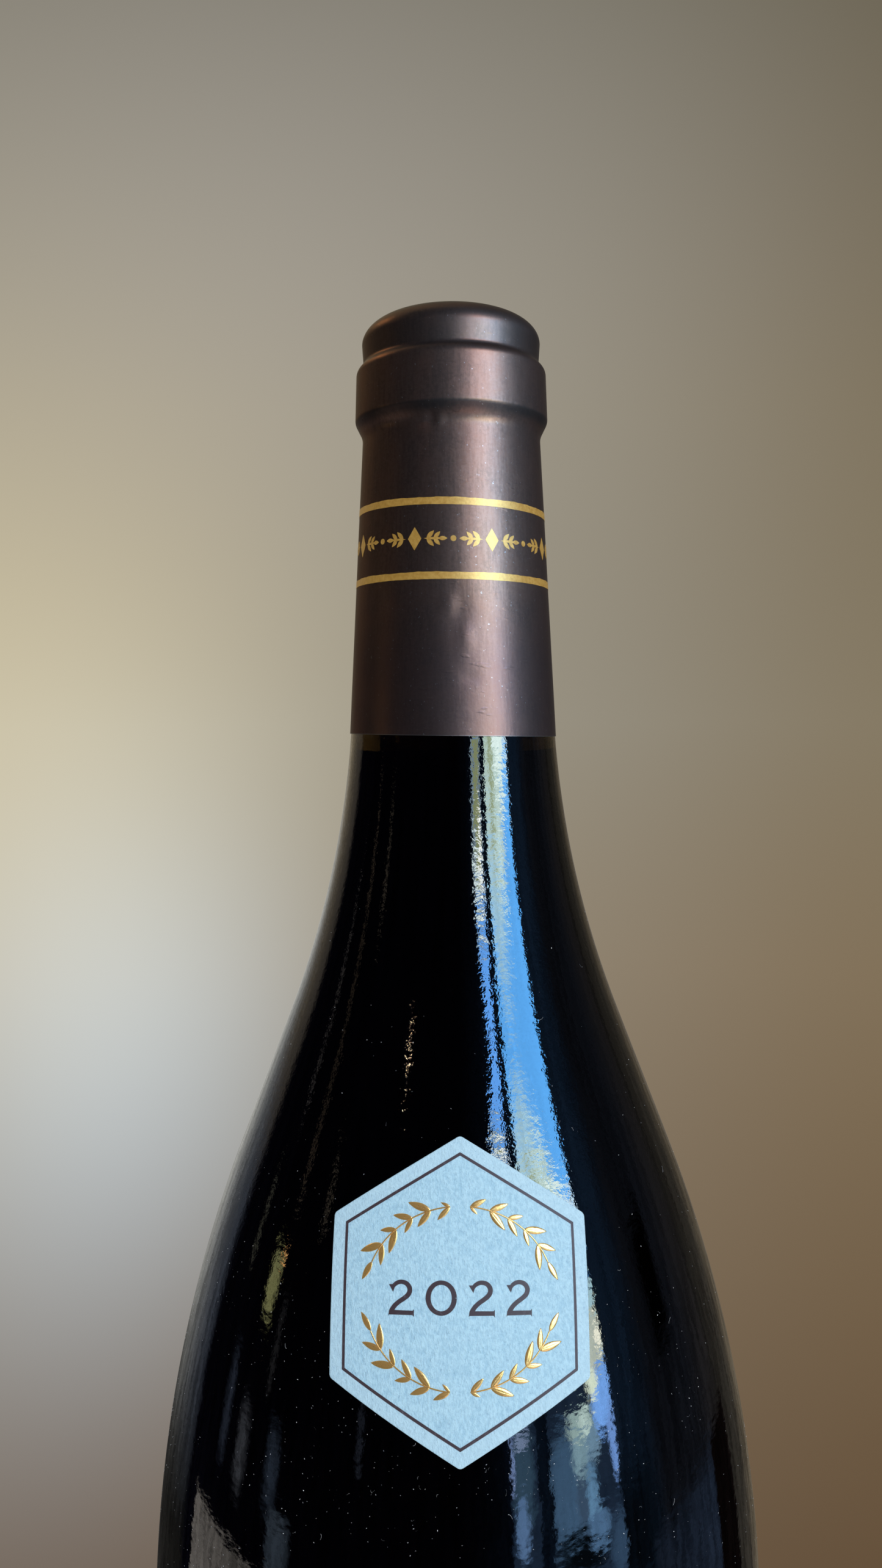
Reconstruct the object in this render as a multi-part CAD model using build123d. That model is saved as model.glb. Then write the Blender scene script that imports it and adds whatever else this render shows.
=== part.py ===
from build123d import *
import os
from math import asin, atan2, cos, degrees, hypot, radians, sin, tan

# A 750 ml wine bottle with long sloping shoulders: heavy dark glass with a deep punt, wine up to
# the neck, a thin metal foil capsule over the mouth and a six-sided paper label on the shoulder.
# Millimetres. The bottle stands on Z = 0 with its axis on Z, and the label looks towards -Y.

# Overall sizes
bottle_height = 294.0        # stand to the top of the lip
body_radius = 45.5           # outside of the body

# Walls of the glass, square to the surface
glass_wall = 4.8             # body and shoulder
base_wall = 6.5              # over the punt
heel_round = 7.0             # outside corner between body and stand
trough_round = 3.0           # inside, round the foot of the punt

# Lip and string ring, as radius and depth below the top of the lip
mouth_bore_radius = 9.25
lip_radius = 12.9
crown_width = 6.05           # the rounded top of the lip is a quarter of an ellipse
crown_height = 3.6
groove_radius = 12.7
groove_depth = 6.7
groove_round = 1.0
ring_top_radius = 13.75
ring_top_depth = 7.7
ring_foot_radius = 14.0
ring_foot_depth = 14.8
ring_round = 1.3
neck_top_radius = 12.9
neck_top_depth = 17.0
neck_top_round = 3.0

# Neck and shoulder, going down
neck_foot_radius = 15.2      # where the neck starts to spread
neck_foot_depth = 60.5       # below the top of the lip
neck_foot_slope = 4.4        # degrees off vertical
spread_radius = 144.5        # hollow curve from the neck into the shoulder
shoulder_slope = 21.1        # degrees off vertical on the straight of the shoulder
shoulder_straight = 21.1     # length of that straight

# Punt: a cone with a round crown, under the base
stand_width = 4.0            # flat ring that the bottle stands on
punt_height = 46.0
punt_crown_radius = 13.0

# Wine
fill_depth = 63.0            # below the top of the lip

# Foil capsule
foil_thickness = 0.12
foil_gap = 0.02              # between glass and foil
foil_length = 60.7           # from the top of the foil to its lower edge, on the axis
foil_edge_tilt = 1.05        # degrees; the lower edge hangs lower on the +X side

# Paper label: an upright regular hexagon bent round the shoulder
label_side = 19.1
label_drop = 72.0            # of its middle, down the glass from the foot of the neck
label_thickness = 0.4
label_gap = 0.02             # glue
label_tilt = 0.6             # degrees; lower on the +X side
label_corner_round = 0.7

tool_overrun = 5.0           # how far a cut runs on past the glass


def shoulder_curve(grow=0.0):
    """Hollow curve, straight and round of the shoulder, moved outwards by grow, square to itself."""
    foot, slope = radians(neck_foot_slope), radians(shoulder_slope)
    start = (
        neck_foot_radius + grow * cos(foot),
        bottle_height - neck_foot_depth + grow * sin(foot),
    )
    down = (sin(foot), -cos(foot))
    spread = JernArc(start, down, spread_radius - grow, shoulder_slope - neck_foot_slope)
    straight = PolarLine(spread @ 1, shoulder_straight, direction=(sin(slope), -cos(slope)))
    shoulder_radius = (body_radius + grow - (straight @ 1).X) / (1 - cos(slope))
    over = JernArc(straight @ 1, straight % 1, shoulder_radius, -shoulder_slope)
    return [spread, straight, over]


def lip_and_neck(grow=0.0):
    """Outside of the mouth from the axis to the foot of the neck, moved outwards by grow."""
    crown_radius = lip_radius - crown_width
    crown_foot = bottle_height - crown_height
    top = bottle_height + grow
    crown = EllipticalCenterArc(
        (crown_radius, crown_foot), crown_width + grow, crown_height + grow, arc_size=90
    )
    side = FilletPolyline(
        (lip_radius + grow, crown_foot),
        (groove_radius + grow, bottle_height - groove_depth + grow / 2),
        (ring_top_radius + grow, bottle_height - ring_top_depth + grow / 2),
        (ring_foot_radius + grow, bottle_height - ring_foot_depth - grow / 4),
        (neck_top_radius + grow, bottle_height - neck_top_depth - grow / 4),
        shoulder_curve(grow)[0] @ 0,
        radius=[groove_round - grow, ring_round + grow, ring_round + grow, neck_top_round - grow],
    )
    return [Line((0, top), (crown_radius, top)), crown, side]


def turned(edges):
    """The solid that a closed outline of radius and height makes when it turns about the axis."""
    return revolve(Plane.XZ * make_face(edges), Axis.Z)


def bottle_blank(grow=0.0):
    """The outside of the bottle, moved outwards by grow, filled in and flat below its heel."""
    shoulder = shoulder_curve(grow)
    top = lip_and_neck(grow)
    body = FilletPolyline(
        shoulder[-1] @ 1, (body_radius + grow, 0), (0, 0), radius=heel_round
    )
    return turned([*top, *shoulder, body, Line((0, 0), top[0] @ 0)])


def punt_outline(grow=0.0):
    """Crown of the punt and the top and slope of its cone, moved into the glass by grow."""
    crown_centre = punt_height - punt_crown_radius
    mouth_radius = body_radius - heel_round - stand_width
    reach = hypot(mouth_radius, crown_centre)
    cone_slope = 90 - degrees(atan2(crown_centre, mouth_radius) + asin(punt_crown_radius / reach))
    crown = JernArc((0, punt_height + grow), (1, 0), punt_crown_radius + grow, cone_slope - 90)
    return crown, cone_slope


def punt_blank():
    """What the punt takes out of the base, down past the stand."""
    crown, cone_slope = punt_outline()
    drop = (crown @ 1).Y + tool_overrun
    foot = ((crown @ 1).X + drop * tan(radians(cone_slope)), -tool_overrun)
    return turned([crown, Polyline(crown @ 1, foot, (0, -tool_overrun), crown @ 0)])


def cavity():
    """The space inside the glass, up past the mouth."""
    crown, cone_slope = punt_outline(base_wall)
    inside = body_radius - glass_wall
    corner_height = (crown @ 1).Y - (inside - (crown @ 1).X) / tan(radians(cone_slope))
    spread, straight, over = shoulder_curve(-glass_wall)
    trough = FilletPolyline(crown @ 1, (inside, corner_height), over @ 1, radius=trough_round)
    mouth = (mouth_bore_radius, bottle_height)
    above = bottle_height + tool_overrun
    bore = Polyline(spread @ 0, mouth, (mouth_bore_radius, above), (0, above), crown @ 0)
    return turned([crown, trough, over, straight, spread, bore])


def glass_bottle():
    """One piece of glass: body, shoulder and neck in one wall, with lip, string ring and punt."""
    return bottle_blank() - punt_blank() - cavity()


def wine():
    """What fills the glass, up to the level in the neck."""
    level = Plane.XY.offset(bottle_height - fill_depth)
    return split(cavity(), bisect_by=level, keep=Keep.BOTTOM)


def foil_capsule():
    """Foil drawn tight over lip, ring and neck, cut off a little out of square at the bottom."""
    outside = foil_gap + foil_thickness
    foil = bottle_blank(outside) - bottle_blank(foil_gap)
    tilt = radians(foil_edge_tilt)
    edge_height = bottle_height + outside - foil_length
    edge = Plane(origin=(0, 0, edge_height), z_dir=(sin(tilt), 0, cos(tilt)))
    return split(foil, bisect_by=edge, keep=Keep.TOP)


def paper_label():
    """A flat six-sided label bent round the shoulder as round the cone that fits its middle."""
    meridian = Wire(shoulder_curve())
    middle = meridian.position_at(label_drop, PositionMode.LENGTH)
    down = meridian.tangent_at(label_drop, PositionMode.LENGTH)
    cone = atan2(down.X, -down.Y)
    reach = middle.X / sin(cone)

    def seen_from_front(across, up):
        slant = hypot(across, reach - up)
        turn = atan2(across, reach - up) / sin(cone)
        place = meridian.position_at(label_drop + slant - reach, PositionMode.LENGTH)
        return place.X * sin(turn), place.Y

    turns = [radians(90 - label_tilt + 60 * side) for side in range(6)]
    corners = [(label_side * cos(turn), label_side * sin(turn)) for turn in turns]
    edges = []
    for (x1, y1), (x2, y2) in zip(corners, corners[1:] + corners[:1]):
        middle_of_side = seen_from_front((x1 + x2) / 2, (y1 + y2) / 2)
        edges.append(ThreePointArc(seen_from_front(x1, y1), middle_of_side, seen_from_front(x2, y2)))
    outline = make_face(edges)
    outline = fillet(outline.vertices(), label_corner_round)
    cutter = extrude(Plane.XZ * outline, body_radius + label_thickness + label_gap)
    paper = bottle_blank(label_gap + label_thickness) - bottle_blank(label_gap)
    return paper & cutter


parts = {
    "glass_bottle": glass_bottle(),
    "wine": wine(),
    "foil_capsule": foil_capsule(),
    "paper_label": paper_label(),
}

os.makedirs("parts", exist_ok=True)
for name, solid in parts.items():
    export_step(solid, f"parts/{name}.step")
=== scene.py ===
from math import asin, atan2, ceil, cos, degrees, exp, hypot, pi, radians, sin, tan

import bmesh
import bpy
import numpy as np
from mathutils import Matrix, Vector
from mathutils.geometry import delaunay_2d_cdt


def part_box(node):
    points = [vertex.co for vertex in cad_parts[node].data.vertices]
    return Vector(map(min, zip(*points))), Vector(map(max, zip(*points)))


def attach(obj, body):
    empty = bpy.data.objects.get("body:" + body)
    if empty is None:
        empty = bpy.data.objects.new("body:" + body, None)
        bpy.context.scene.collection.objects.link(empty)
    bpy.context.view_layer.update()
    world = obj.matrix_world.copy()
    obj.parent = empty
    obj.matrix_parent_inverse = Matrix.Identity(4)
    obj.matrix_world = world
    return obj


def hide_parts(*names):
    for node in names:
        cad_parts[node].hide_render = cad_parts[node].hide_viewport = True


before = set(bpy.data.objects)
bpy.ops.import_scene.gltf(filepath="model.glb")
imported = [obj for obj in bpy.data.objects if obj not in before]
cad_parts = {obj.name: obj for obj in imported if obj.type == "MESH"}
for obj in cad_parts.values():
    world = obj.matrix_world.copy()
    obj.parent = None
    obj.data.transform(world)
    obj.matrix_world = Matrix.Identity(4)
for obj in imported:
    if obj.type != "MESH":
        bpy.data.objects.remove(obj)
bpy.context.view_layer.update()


# The bottle is one piece of thick olive glass, blown in a mould: lip and string ring round the
# mouth, long sloping shoulders, and a deep punt pressed up into the base. Its skin is fire
# polished, and keeps the faint ripple of the mould.

mm = 0.001  # outlines are in millimetres, as radius and height
foil_gap = 0.02
foil_thickness = 0.12
bottle_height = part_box("foil_capsule")[1].z / mm - foil_gap - foil_thickness
body_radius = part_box("glass_bottle")[1].x / mm
glass_wall = 4.8
base_wall = 6.5
heel_round = 7.0
trough_round = 3.0
mouth_bore_radius = 9.25
lip_radius = 12.9
crown_width = 6.05  # the rounded top of the lip is a quarter of an ellipse
crown_height = 3.6
groove_radius = 12.7  # between lip and string ring; depths are below the mouth
groove_depth = 6.7
groove_round = 1.0
ring_top_radius = 13.75
ring_top_depth = 7.7
ring_foot_radius = 14.0
ring_foot_depth = 14.8
ring_round = 1.3
neck_top_radius = 12.9
neck_top_depth = 17.0
neck_top_round = 3.0
neck_foot_radius = 15.2
neck_foot_depth = 60.5
neck_slope = 4.4  # degrees off vertical, where the neck starts to spread
spread_radius = 144.5
shoulder_slope = 21.1
shoulder_straight = 21.1
stand_width = 4.0
stand_round = 1.2
punt_height = 46.0
punt_crown_radius = 13.0
ripple_height = 0.035
ripple_width = 14.0


class Wire:
    """One socket in a node tree. Sums written with it add that tree's Math nodes."""

    def __init__(self, tree, socket=None):
        self.tree = tree
        self.socket = socket

    @staticmethod
    def find(sockets, name):
        """A socket by its identifier, or else by its name or number."""
        return next((s for s in sockets if s.identifier == name), None) or sockets[name]

    def feed(self, socket, value):
        """Links a socket to a wire, or sets its value: a colour gets its alpha."""
        if isinstance(value, Wire):
            self.tree.links.new(value.socket, socket)
        else:
            socket.default_value = (*value, 1.0) if socket.type == "RGBA" else value

    def node(self, kind, sockets=None, output=0, **settings):
        """Adds any other node: its settings first, then the values or links of its sockets."""
        made = self.tree.nodes.new(kind)
        for name, value in settings.items():
            if name == "stops":
                self.set_stops(made.color_ramp, value)
            else:
                setattr(made, name, value)
        for name, value in (sockets or {}).items():
            self.feed(self.find(made.inputs, name), value)
        return Wire(self.tree, self.find(made.outputs, output))

    @staticmethod
    def set_stops(ramp, stops):
        while len(ramp.elements) < len(stops):
            ramp.elements.new(1.0)
        for element, (position, colour) in zip(ramp.elements, stops):
            element.position = position
            element.color = (*colour, 1.0)

    def ends(self, kind):
        """Ends the tree in its output node, which takes this socket."""
        self.feed(self.tree.nodes.new(kind).inputs[0], self)

    def other(self, output):
        """Another output of the node that this socket belongs to."""
        return Wire(self.tree, self.find(self.socket.node.outputs, output))

    def math(self, operation, *others):
        """A Math node on this socket and the others."""
        return self.node("ShaderNodeMath", dict(enumerate((self, *others))), operation=operation)

    def swapped(self, operation, first):
        """A Math node with this socket as its second value."""
        return self.node("ShaderNodeMath", {0: first, 1: self}, operation=operation)

    def __add__(self, value):
        return self.math("ADD", value)

    def __sub__(self, value):
        return self.math("SUBTRACT", value)

    def __rsub__(self, value):
        return self.swapped("SUBTRACT", value)

    def __mul__(self, value):
        return self.math("MULTIPLY", value)

    def __truediv__(self, value):
        return self.math("DIVIDE", value)

    def __rtruediv__(self, value):
        return self.swapped("DIVIDE", value)

    __radd__ = __add__
    __rmul__ = __mul__

    def smooth(self, low, high):
        """0 up to low, 1 from high on, and a soft step between them."""
        limits = {"Value": self, "From Min": low, "From Max": high}
        return self.node("ShaderNodeMapRange", limits, interpolation_type="SMOOTHSTEP")

    def blend(self, first, second, way="MIX"):
        """The first colour where this socket is 0, and the second, or both added, where it is 1."""
        colours = {"Factor_Float": self, "A_Color": first, "B_Color": second}
        return self.node("ShaderNodeMix", colours, "Result_Color", data_type="RGBA", blend_type=way)

    def brightened(self, value):
        """This colour, lighter where the value is over 1 and darker where it is under."""
        return self.node("ShaderNodeHueSaturation", {"Value": value, "Color": self}, "Color")

    def parts(self):
        """The X, Y and Z of this place."""
        x = self.node("ShaderNodeSeparateXYZ", {"Vector": self})
        return x, x.other("Y"), x.other("Z")

    def vector(self, x, y=0.0, z=0.0):
        """A vector of these three values."""
        return self.node("ShaderNodeCombineXYZ", {"X": x, "Y": y, "Z": z})

    def stretched(self, x, y, z):
        """A place with each of its coordinates multiplied."""
        return self.node("ShaderNodeVectorMath", {0: self, 1: (x, y, z)}, operation="MULTIPLY")

    def noise(self, scale, detail=2.0, roughness=0.5):
        """Soft random values about 0.5 at this place, that change over 1 / scale metres."""
        sizes = {"Vector": self, "Scale": scale, "Detail": detail, "Roughness": roughness}
        return self.node("ShaderNodeTexNoise", sizes)

    def waves(self, scale, seed):
        """Plain soft random values about 0 at this place, which the seed changes."""
        sizes = {"Vector": self, "W": seed, "Scale": scale, "Detail": 1.0}
        return self.node("ShaderNodeTexNoise", sizes, noise_dimensions="4D") - 0.5

    def bump(self, depth):
        """A normal for a surface that rises by depth metres where this socket is 1."""
        return self.node("ShaderNodeBump", {"Height": self, "Distance": depth})


def finish(name, varying, **steady):
    """A material: steady values stand on the shader's sockets, and varying gives its links."""
    made = bpy.data.materials.new(name)
    made.use_nodes = True
    shader = made.node_tree.nodes["Principled BSDF"]
    place = Wire(made.node_tree).node("ShaderNodeTexCoord", output="Object")
    for socket, value in {**steady, **varying(place)}.items():
        place.feed(shader.inputs[socket.replace("_", " ")], value)
    return made


def arc(start, slope, turn, radius):
    """Points of an arc from start, whose slope off straight down changes by turn degrees."""
    spacing = 1.5
    steps = ceil(radius * radians(abs(turn)) / spacing)
    reach = radius if turn > 0 else -radius
    first = radians(slope)
    slopes = [radians(slope + turn * step / steps) for step in range(steps + 1)]
    return [
        (start[0] + reach * (cos(first) - cos(now)), start[1] + reach * (sin(first) - sin(now)))
        for now in slopes
    ]


def rounded(corners, radii):
    """The corners in a row, with each inner one rounded to its radius."""
    steps = 8
    corners = [Vector(corner) for corner in corners]
    points = [tuple(corners[0])]
    for before, corner, after, radius in zip(corners, corners[1:], corners[2:], radii):
        back = (before - corner).normalized()
        onward = (after - corner).normalized()
        half = back.angle(onward) / 2
        centre = corner + (back + onward).normalized() * radius / sin(half)
        first = corner + back * radius / tan(half) - centre
        last = corner + onward * radius / tan(half) - centre
        turn = atan2(first.x * last.y - first.y * last.x, first.dot(last))
        for step in range(steps + 1):
            points.append(tuple(centre + Matrix.Rotation(turn * step / steps, 2) @ first))
    return points + [tuple(corners[-1])]


def spaced(points, longest):
    """The same line with more points, so that none are further apart than longest."""
    line = [points[0]]
    for start, end in zip(points, points[1:]):
        steps = max(1, ceil(hypot(end[0] - start[0], end[1] - start[1]) / longest))
        for step in range(1, steps + 1):
            share = step / steps
            line.append(tuple(a + (b - a) * share for a, b in zip(start, end)))
    return [here for before, here in zip([None, *line], line) if here != before]


def shoulder(grow=0.0):
    """Outline from the foot of the neck down to the body, moved outwards by grow."""
    foot = radians(neck_slope)
    neck_foot_height = bottle_height - neck_foot_depth
    start = (neck_foot_radius + grow * cos(foot), neck_foot_height + grow * sin(foot))
    spread = arc(start, neck_slope, shoulder_slope - neck_slope, spread_radius - grow)
    slope = radians(shoulder_slope)
    across, height = spread[-1]
    end = (across + shoulder_straight * sin(slope), height - shoulder_straight * cos(slope))
    over_radius = (body_radius + grow - end[0]) / (1 - cos(slope))
    return spread + arc(end, shoulder_slope, -shoulder_slope, over_radius)


def lip_and_neck(grow=0.0):
    """Outline from the flat top of the lip down to the foot of the neck, moved outwards by grow."""
    crown = [
        (
            lip_radius - crown_width + (crown_width + grow) * sin(turn),
            bottle_height - crown_height + (crown_height + grow) * cos(turn),
        )
        for turn in np.linspace(0, pi / 2, 28)
    ]
    side = rounded(
        [
            crown[-1],
            (groove_radius + grow, bottle_height - groove_depth + grow / 2),
            (ring_top_radius + grow, bottle_height - ring_top_depth + grow / 2),
            (ring_foot_radius + grow, bottle_height - ring_foot_depth - grow / 4),
            (neck_top_radius + grow, bottle_height - neck_top_depth - grow / 4),
            shoulder(grow)[0],
        ],
        [groove_round - grow, ring_round + grow, ring_round + grow, neck_top_round - grow],
    )
    return crown + side[1:]


def punt(grow=0.0):
    """Crown of the punt and the start of its cone, from the axis down, and the cone's slope."""
    crown_centre = punt_height - punt_crown_radius
    mouth = body_radius - heel_round - stand_width
    reach = hypot(mouth, crown_centre)
    slope = 90 - degrees(atan2(crown_centre, mouth) + asin(punt_crown_radius / reach))
    crown = arc((0, punt_height + grow), 90, slope - 90, punt_crown_radius + grow)
    return crown, slope


def inside(grow=0.0):
    """Outline of the space in the glass from the foot of the neck down to the axis."""
    crown, slope = punt(base_wall - grow)
    wall = body_radius - glass_wall + grow
    corner = (wall, crown[-1][1] - (wall - crown[-1][0]) / tan(radians(slope)))
    side = shoulder(grow - glass_wall)
    return side[:-1] + rounded([side[-1], corner, crown[-1]], [trough_round]) + crown[-2::-1]


def new_object(name, data):
    made = bpy.data.objects.new(name, data)
    bpy.context.scene.collection.objects.link(made)
    return made


def new_tree(name, *inputs):
    """A Geometry Nodes tree: the wires of its incoming geometry and of its named inputs."""
    tree = bpy.data.node_groups.new(name, "GeometryNodeTree")
    kinds = {"Geometry": "Geometry", "Finish": "Material", "Count": "Int", "Seed": "Int"}
    tree.interface.new_socket("Geometry", in_out="OUTPUT", socket_type="NodeSocketGeometry")
    for label in ("Geometry", *inputs, "Finish"):
        kind = "NodeSocket" + kinds.get(label, "Float")
        tree.interface.new_socket(label, in_out="INPUT", socket_type=kind)
    given = Wire(tree).node("NodeGroupInput")
    return [given, *map(given.other, inputs)]


def end_tree(given, geometry):
    """Ends a tree: real geometry with its finish on."""
    real = given.node("GeometryNodeRealizeInstances", {"Geometry": geometry})
    sockets = {"Geometry": real, "Material": given.other("Finish")}
    given.node("GeometryNodeSetMaterial", sockets).ends("NodeGroupOutput")
    return given.tree


def pushed(geometry, direction, rise):
    """Moves each point of a geometry along the direction by the rise."""
    sockets = {"Vector": direction, "Scale": rise}
    offset = direction.node("ShaderNodeVectorMath", sockets, operation="SCALE")
    return geometry.node("GeometryNodeSetPosition", {"Geometry": geometry, "Offset": offset})


def grown(piece, tree, **inputs):
    """Runs a tree on a piece and leaves the result as the piece's own plain mesh."""
    modifier = piece.modifiers.new("making", "NODES")
    modifier.node_group = tree
    for item in tree.interface.items_tree:
        value = inputs.get(item.name.replace(" ", "_"))
        if value is not None:
            modifier[item.identifier] = value
    evaluated = piece.evaluated_get(bpy.context.evaluated_depsgraph_get())
    mesh = bpy.data.meshes.new_from_object(evaluated)
    mesh.name = piece.name
    piece.modifiers.remove(modifier)
    piece.data = mesh
    return piece


def turning_tree():
    """Turns an outline about the axis, closes seam and poles, and adds a faint ripple."""
    inputs = ("Count", "Ripple", "Ripple size", "Seed")
    given, around, ripple, ripple_width, seed = new_tree("turned_on_the_axis", *inputs)
    outline = {"Geometry": given}
    rows = given.node("GeometryNodeAttributeDomainSize", outline, "Point Count", component="MESH")
    grid = {"Vertices X": around + 1, "Vertices Y": rows}
    sheet = given.node("GeometryNodeMeshGrid", grid, "Mesh")
    index = given.node("GeometryNodeInputIndex")
    column = (index / rows + 0.0001).math("FLOOR")
    place = given.node("GeometryNodeInputPosition")
    sample = {"Geometry": given, "Value": place, "Index": index - column * rows}
    point = given.node("GeometryNodeSampleIndex", sample, data_type="FLOAT_VECTOR")
    radius, _, height = point.parts()
    turn = column * (2 * pi) / around
    wound = given.vector(radius * turn.math("SINE"), radius * turn.math("COSINE") * -1, height)
    shell = given.node("GeometryNodeSetPosition", {"Geometry": sheet, "Position": wound})
    closed = given.node("GeometryNodeMergeByDistance", {"Geometry": shell, "Distance": 1e-7})
    rise = place.waves(1 / ripple_width, seed) * ripple
    skin = pushed(closed, given.node("GeometryNodeInputNormal"), rise)
    return end_tree(given, given.node("GeometryNodeSetShadeSmooth", {"Geometry": skin}))


def turned(name, points, skin, longest, around, ripple=0.0, ripple_width=1.0, seed=0):
    """A piece turned about the axis from its outline, with no steps along it over longest."""
    line = spaced(points, longest)
    mesh = bpy.data.meshes.new(name)
    edges = [(index, index + 1) for index in range(len(line) - 1)]
    mesh.from_pydata([(radius * mm, 0.0, height * mm) for radius, height in line], edges, [])
    sizes = {"Count": around, "Ripple": ripple * mm, "Ripple_size": ripple_width * mm}
    return grown(new_object(name, mesh), turning, Seed=seed, Finish=skin, **sizes)


def glass_skin(place):
    """Ripple of the skin, and a film of dust that dulls it in places."""
    ripple = place.stretched(1, 1, 1.6).noise(300)
    height = place.parts()[2]
    orange_peel = place.noise(1500, 2.0, 0.6) * (0.15 + height.smooth(0.14, 0.18) * 0.4)
    film = place.noise(45, 4.0, 0.6).smooth(0.45, 0.8)
    return {
        "Base Color": place.noise(20).blend((0.033, 0.02, 0.006), (0.042, 0.027, 0.008)),
        "Roughness": 0.012 + film * 0.03,
        "Normal": (ripple + orange_peel).bump(0.00003),
    }


turning = turning_tree()
olive_glass = finish("olive_glass", glass_skin, Transmission_Weight=1.0, IOR=1.52)

punt_crown, _ = punt()
stand_radius = body_radius - heel_round - stand_width
base_corners = [punt_crown[-1], (stand_radius, 0.0), (body_radius, 0.0), shoulder()[-1]]
base = rounded(base_corners, [stand_round, heel_round])
lip = [point for point in lip_and_neck() if point[0] > mouth_bore_radius]
mouth_share = (mouth_bore_radius - lip_radius + crown_width) / crown_width
mouth_height = bottle_height - crown_height + crown_height * (1 - mouth_share ** 2) ** 0.5
mouth = [(mouth_bore_radius, mouth_height)]
glass_outline = punt_crown[:-1] + base[:-1] + shoulder()[::-1] + lip[-2::-1] + mouth + inside()
bottle_glass = turned(
    "bottle_glass", glass_outline, olive_glass, longest=1.6, around=180,
    ripple=ripple_height, ripple_width=ripple_width, seed=3,
)
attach(bottle_glass, "root")
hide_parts("glass_bottle")


# The wine fills the glass up to the neck. It is red so deep that it looks black, wets the wall
# all over and creeps up it a little at the level. It reaches just into the wall, so that no air
# shows between wine and glass.

wine_into_wall = 0.1
wine_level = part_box("wine")[1].z / mm
meniscus_height = 0.8
meniscus_width = 1.1


def wine_body(place):
    """Deep red, with the least hint of cloud."""
    cloud = place.noise(60)
    return {
        "Base Color": cloud.blend((0.004, 0.0003, 0.001), (0.007, 0.0005, 0.0016)),
        "Roughness": 0.1 + cloud * 0.1,
    }


deep_red = finish("deep_red_wine", wine_body, Specular_IOR_Level=0.05)
wet_wall = [point for point in inside(wine_into_wall) if point[1] < wine_level]
flat_level = wine_level - meniscus_height
meniscus = [
    (wet_wall[0][0] - inwards, flat_level + meniscus_height * exp(-inwards / meniscus_width))
    for inwards in (0.0, 0.15, 0.35, 0.6, 0.9, 1.3, 1.8, 2.5, 3.5, 5.0)
]
wine_outline = wet_wall[::-1] + meniscus + [(0.0, flat_level)]
bottle_wine = turned("bottle_wine", wine_outline, deep_red, longest=2.5, around=128)
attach(bottle_wine, "root")
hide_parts("wine")


# The capsule is a thin cup of lacquered metal foil, drawn down over lip, ring and neck and rolled
# tight on them. It shows a few small dents, and its lower edge is cut a little out of square.

foil_length = 60.7
foil_edge_height = bottle_height + foil_gap + foil_thickness - foil_length
foil_edge_tilt = tan(radians(1.05))  # the edge hangs lower on the +X side
edge_fade_height = 12.0  # over which the tilt fades out above the edge
crease_height = bottle_height - 14.9  # the crease under the ring, where shade is painted dark into the foil's colour
wave_height = 0.07
waves_per_metre = 130.0
relief_seed = 5
dents = [  # turn from the front, height, width, length and depth
    (3.0, 250.6, 1.7, 2.6, 0.12),
    (6.5, 247.0, 1.1, 2.2, -0.09),
    (-2.5, 251.5, 1.2, 1.3, -0.09),
    (8.0, 241.5, 1.5, 1.1, 0.07),
    (-13.0, 277.2, 0.7, 0.9, 0.11),
    (-8.0, 276.6, 0.6, 0.8, -0.09),
    (-35.0, 275.8, 1.0, 0.7, 0.09),
    (96.0, 262.0, 1.6, 3.0, 0.10),
    (171.0, 244.0, 2.2, 1.6, 0.09),
    (-128.0, 268.5, 1.5, 2.4, 0.08),
]


def foil_relief_tree():
    """Moves all that is on the neck with the foil: its dents, and the waves of its rolling."""
    given, seed = new_tree("foil_relief", "Seed")
    place = given.node("GeometryNodeInputPosition")
    across, back, height = place.parts()
    rise = place.stretched(1, 1, 0.6).waves(waves_per_metre, seed) * (wave_height * mm)
    for turn, middle, width, length, depth in dents:
        at = radians(turn)
        along = (across * cos(at) + back * sin(at)) / (width * mm)
        facing = (across * sin(at) - back * cos(at)).smooth(0.0, 8 * mm)
        up = (height - middle * mm) / (length * mm)
        hollow = (-1 * (along * along + up * up)).math("EXPONENT") * facing
        rise = rise - hollow * (depth * mm)
    outward = {0: given.vector(across, back)}
    away = given.node("ShaderNodeVectorMath", outward, operation="NORMALIZE")
    return end_tree(given, pushed(given, away, rise))


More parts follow.
